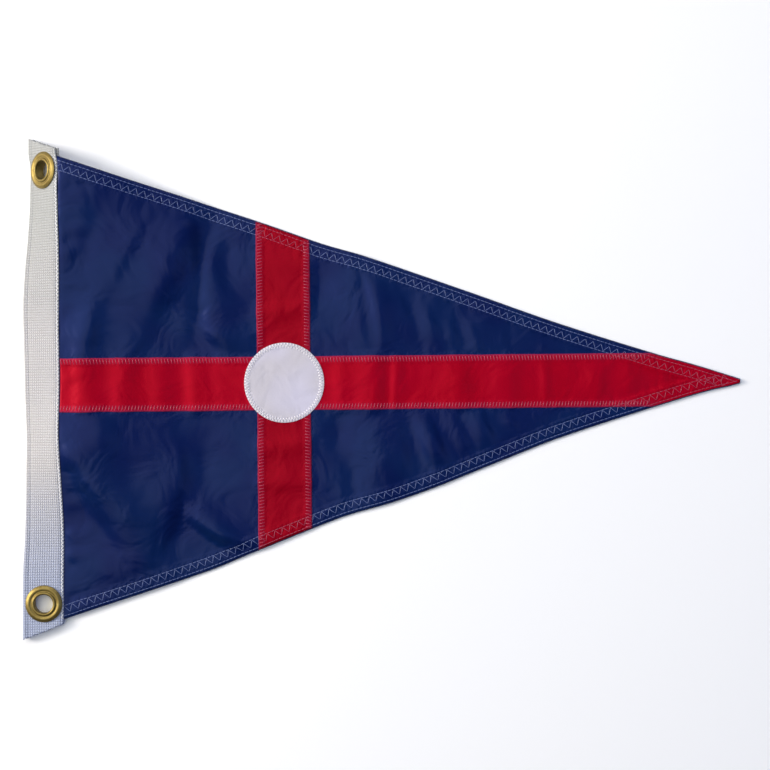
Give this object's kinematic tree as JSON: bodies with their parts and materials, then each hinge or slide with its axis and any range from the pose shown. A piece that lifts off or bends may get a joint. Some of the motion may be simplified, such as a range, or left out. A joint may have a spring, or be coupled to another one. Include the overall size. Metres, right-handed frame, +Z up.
{
  "type": "nylon burgee with webbing heading and brass grommets, lying flat",
  "caption": "Triangular sewn burgee in navy nylon with a red cross and a white disc, a white webbing heading along the hoist and brass grommets, lying face up.",
  "frame": {"origin": "on the surface that the burgee lies on, under the middle of its box", "axes": "+X from the hoist to the fly tip, +Y to the upper end of the hoist, +Z up out of the face"},
  "size_m": [0.4584, 0.3182, 0.021],
  "materials": {
    "navy_nylon": "glossy filament nylon, navy blue",
    "red_nylon": "glossy filament nylon, red",
    "white_nylon": "glossy filament nylon, white",
    "webbing": "woven polyester heading tape, off-white",
    "brass": "polished rolled brass"
  },
  "bodies": {
    "root": {"field": "navy_nylon", "arm_hoist": "red_nylon", "arm_fly": "red_nylon", "arm_upper": "red_nylon", "arm_lower": "red_nylon", "disc": "white_nylon", "heading": "webbing", "grommet_upper": "brass", "grommet_lower": "brass", "washer_upper": "brass", "washer_lower": "brass"}
  },
  "joints": []
}
